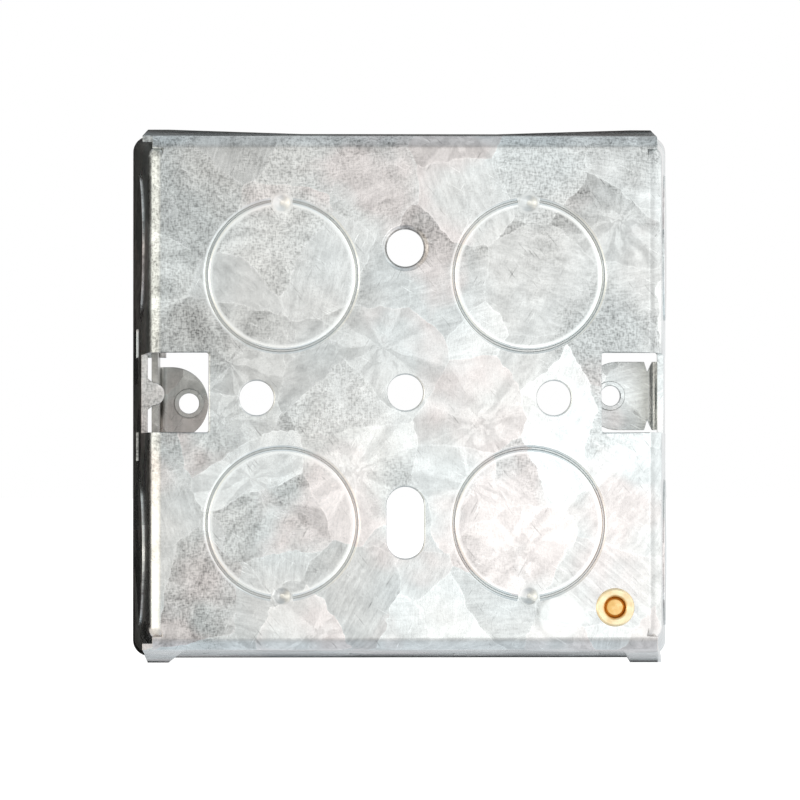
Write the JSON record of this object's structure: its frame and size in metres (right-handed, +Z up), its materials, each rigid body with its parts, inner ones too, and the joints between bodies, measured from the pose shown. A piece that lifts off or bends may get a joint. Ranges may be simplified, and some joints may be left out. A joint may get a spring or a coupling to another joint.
{
  "type": "flush back box",
  "caption": "Pressed steel flush wall box, open in front, with knockouts, a fixed and a sliding screw lug and a brass earth terminal.",
  "frame": {"origin": "centre of the middle fixing hole, on the back face of the base", "axes": "+Z up the wall, +Y out of the back into the wall, so the open front looks along -Y; +X towards the sliding lug"},
  "size_m": [0.0764, 0.0353, 0.0764],
  "materials": {
    "galvanised_steel": "spangled zinc coat, slightly rough",
    "lug_steel": "spangled zinc coat, slightly rough",
    "brass": "turned, slightly dull"
  },
  "bodies": {
    "box": {"box_body": "galvanised_steel", "earth_terminal_post": "brass", "earth_clamp_washer": "brass", "earth_screw": "brass"},
    "lug": {"adjustable_lug": "lug_steel"}
  },
  "joints": [
    {"name": "lug_slide", "type": "slide", "parent": "box", "child": "lug", "axis": [0, 0, 1], "range_m": [-0.0014, 0.0036]}
  ]
}
